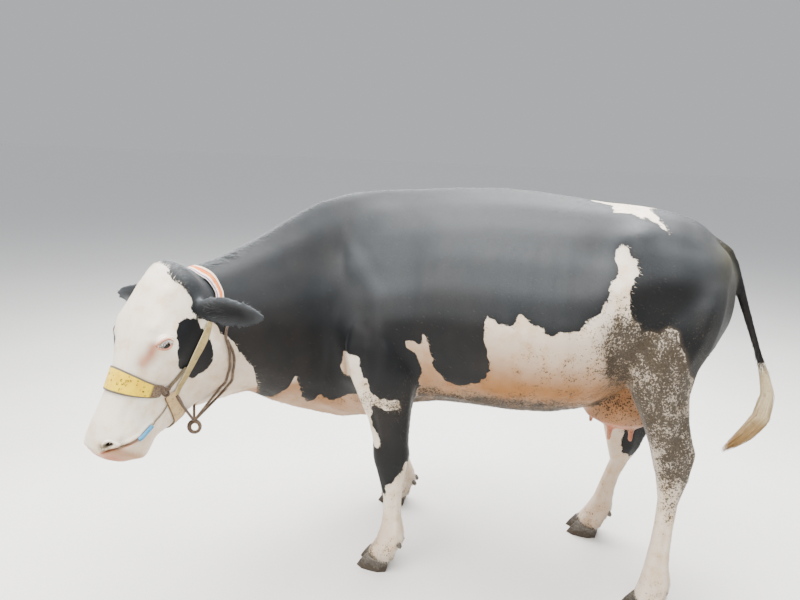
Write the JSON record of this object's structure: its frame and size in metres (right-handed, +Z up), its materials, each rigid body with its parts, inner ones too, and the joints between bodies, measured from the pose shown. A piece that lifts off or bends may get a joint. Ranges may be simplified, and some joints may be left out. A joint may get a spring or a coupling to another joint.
{
  "type": "dairy cow",
  "caption": "Life-size standing black-and-white dairy cow, head lowered and turned to its left, in a rope and webbing halter.",
  "frame": {"origin": "bottom centre of the bounding box, on the floor between the feet", "axes": "+Z up, the cow faces -X, its left side is towards -Y and its head is turned that way"},
  "size_m": [2.158, 1.2106, 1.4209],
  "materials": {
    "black_coat": "short black hair with a soft sheen",
    "white_coat": "short cream-white hair with dried mud on the legs",
    "bare_skin": "thin pink skin",
    "switch_hair": "long pale tan hair",
    "horn": "dull grey-brown horn",
    "eye": "wet and glossy",
    "noseband_webbing": "woven yellow webbing with brown edges",
    "strap_webbing": "worn olive webbing",
    "crown_webbing": "striped orange and white webbing",
    "rope": "twisted brown rope",
    "cord": "thin twisted cord",
    "sleeve": "blue cloth wound on the cord"
  },
  "bodies": {
    "root": {"cheek_strap_left": "strap_webbing", "cheek_strap_right": "strap_webbing", "chin_strap": "strap_webbing", "claw_fore_left_inner": "horn", "claw_fore_left_outer": "horn", "claw_fore_right_inner": "horn", "claw_fore_right_outer": "horn", "claw_hind_left_inner": "horn", "claw_hind_left_outer": "horn", "claw_hind_right_inner": "horn", "claw_hind_right_outer": "horn", "cord_front": "cord", "cord_rear": "cord", "cord_sleeve": "sleeve", "crown_strap": "crown_webbing", "dewclaw_fore_left_inner": "horn", "dewclaw_fore_left_outer": "horn", "dewclaw_fore_right_inner": "horn", "dewclaw_fore_right_outer": "horn", "dewclaw_hind_left_inner": "horn", "dewclaw_hind_left_outer": "horn", "dewclaw_hind_right_inner": "horn", "dewclaw_hind_right_outer": "horn", "ear_left": "black_coat", "ear_right": "black_coat", "eye_left": "eye", "eye_right": "eye", "halter_rope": "rope", "head": "white_coat", "knot_left": "rope", "knot_right": "rope", "leg_fore_left_lower": "white_coat", "leg_fore_left_upper": "black_coat", "leg_fore_right_lower": "white_coat", "leg_fore_right_upper": "black_coat", "leg_hind_left_lower": "white_coat", "leg_hind_left_upper": "black_coat", "leg_hind_right_lower": "white_coat", "leg_hind_right_upper": "black_coat", "lower_strap_left": "strap_webbing", "lower_strap_right": "strap_webbing", "neck": "black_coat", "noseband": "noseband_webbing", "tail": "black_coat", "tail_switch": "switch_hair", "trunk": "black_coat", "udder": "bare_skin"}
  },
  "joints": []
}
